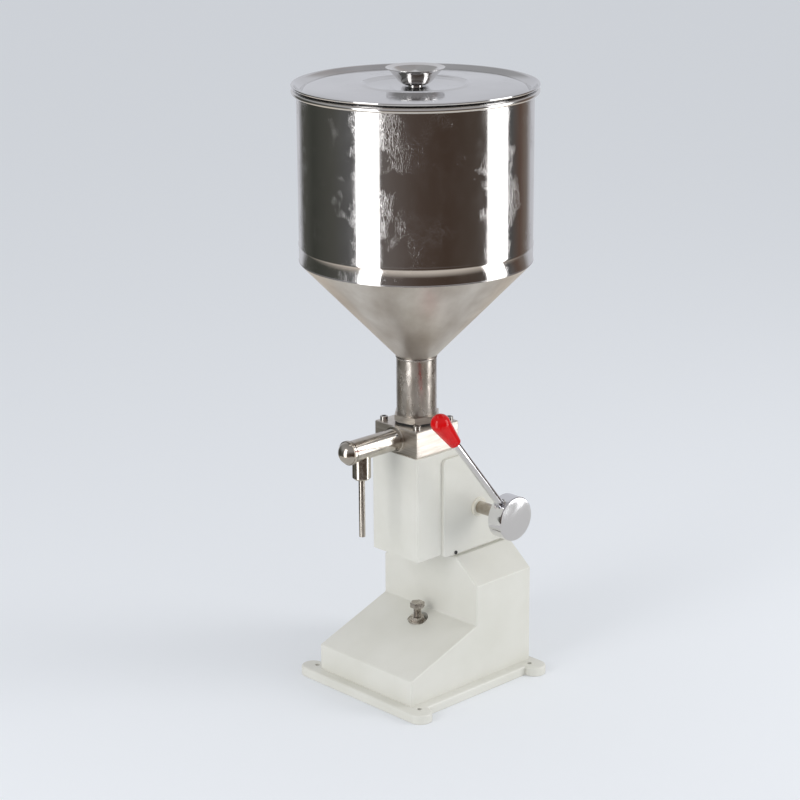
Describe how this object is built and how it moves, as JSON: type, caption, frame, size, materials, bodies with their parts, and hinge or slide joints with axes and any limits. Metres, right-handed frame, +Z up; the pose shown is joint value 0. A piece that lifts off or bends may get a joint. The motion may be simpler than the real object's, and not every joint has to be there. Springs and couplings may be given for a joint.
{
  "type": "piston liquid filler",
  "caption": "Hand-lever piston filler: cast base, painted head with rack piston, valve block, side outlet and nozzle, conical hopper with lid.",
  "frame": {"origin": "centre of the four bench bolt holes, on the bench plane under the base", "axes": "+Z up along the hopper, -Y towards the nozzle, +X towards the lever side"},
  "size_m": [0.3032, 0.3032, 0.8],
  "materials": {
    "body_paint": "semi-gloss ivory-grey enamel",
    "dark_fasteners": "black oxide",
    "nylon": "cream nylon",
    "stainless_turned": "turned",
    "bronze": "bearing bronze",
    "black_rubber": "matt",
    "stainless_fasteners": "machined",
    "gear_steel": "oiled, machined",
    "shaft_steel": "ground",
    "bright_chrome": "mirror",
    "red_plastic": "gloss",
    "stainless_brushed": "brushed and polished",
    "spring_steel": "drawn wire",
    "stainless_polished": "polished with fine swirls",
    "stainless_satin": "satin",
    "zinc_steel": "dull zinc"
  },
  "bodies": {
    "frame": {"base_casting": "body_paint", "head_housing": "body_paint", "right_cover": "body_paint", "left_cover": "body_paint", "head_bolts": "dark_fasteners", "right_cover_screws": "dark_fasteners", "left_cover_screws": "dark_fasteners", "right_bush": "nylon", "left_bush": "nylon", "cylinder_liner": "stainless_turned", "rod_guide": "bronze", "valve_block": "stainless_brushed", "block_screws": "stainless_fasteners", "inlet_seat": "stainless_turned", "inlet_spring": "spring_steel", "outlet_tube": "stainless_brushed", "outlet_collar": "stainless_brushed", "set_screw": "stainless_fasteners", "end_cap": "stainless_brushed", "cap_ring": "black_rubber", "outlet_spring": "spring_steel", "nozzle_holder": "stainless_brushed", "nozzle_tube": "stainless_brushed", "union_gasket": "black_rubber", "hopper_union": "stainless_brushed", "hopper_neck": "stainless_polished", "hopper_cone": "stainless_satin", "hopper_barrel": "stainless_polished", "hopper_rim": "stainless_polished", "stop_washer": "zinc_steel"},
    "lever": {"lever_shaft": "shaft_steel", "sector_gear": "gear_steel", "gear_key": "gear_steel", "retaining_ring": "dark_fasteners", "lever_hub": "bright_chrome", "hub_grub_screw": "dark_fasteners", "lever_rod": "bright_chrome", "lever_grip": "red_plastic"},
    "piston_set": {"piston_rod": "stainless_turned", "piston": "stainless_turned", "piston_seals": "black_rubber", "piston_screw": "stainless_fasteners"},
    "inlet_valve": {"inlet_poppet": "stainless_turned", "stem_nut": "stainless_fasteners"},
    "outlet_valve": {"outlet_ball": "stainless_turned"},
    "hopper_lid": {"lid": "stainless_polished", "lid_knob": "stainless_polished", "lid_screw": "stainless_fasteners", "knob_nut": "stainless_fasteners"},
    "stroke_stop": {"stop_screw": "zinc_steel"},
    "stop_lock": {"lock_nut": "zinc_steel"}
  },
  "joints": [
    {"name": "lever_turn", "type": "hinge", "parent": "frame", "child": "lever", "pos_m": [0, 0.055, 0.23], "axis": [1, 0, 0], "range_deg": [0, 54]},
    {"name": "piston_slide", "type": "slide", "parent": "frame", "child": "piston_set", "axis": [0, 0, -1], "range_m": [0, 0.052]},
    {"name": "inlet_open", "type": "slide", "parent": "frame", "child": "inlet_valve", "axis": [0, 0, -1], "range_m": [0, 0.004], "stiffness_N_per_m": 150, "springref_m": -0.004, "deforming": ["inlet_spring"]},
    {"name": "outlet_open", "type": "slide", "parent": "frame", "child": "outlet_valve", "axis": [0, -1, 0], "range_m": [0, 0.005], "stiffness_N_per_m": 200, "springref_m": -0.004, "deforming": ["outlet_spring"]},
    {"name": "lid_lift", "type": "slide", "parent": "frame", "child": "hopper_lid", "axis": [0, 0, 1], "range_m": [0, 0.15]},
    {"name": "stop_screw_up", "type": "slide", "parent": "frame", "child": "stroke_stop", "axis": [0, 0, 1], "range_m": [0, 0.012]},
    {"name": "lock_nut_up", "type": "slide", "parent": "frame", "child": "stop_lock", "axis": [0, 0, 1], "range_m": [0, 0.005]}
  ],
  "couplings": [
    {"joint": "piston_slide", "follows": "lever_turn", "m_per_rad": 0.055}
  ]
}
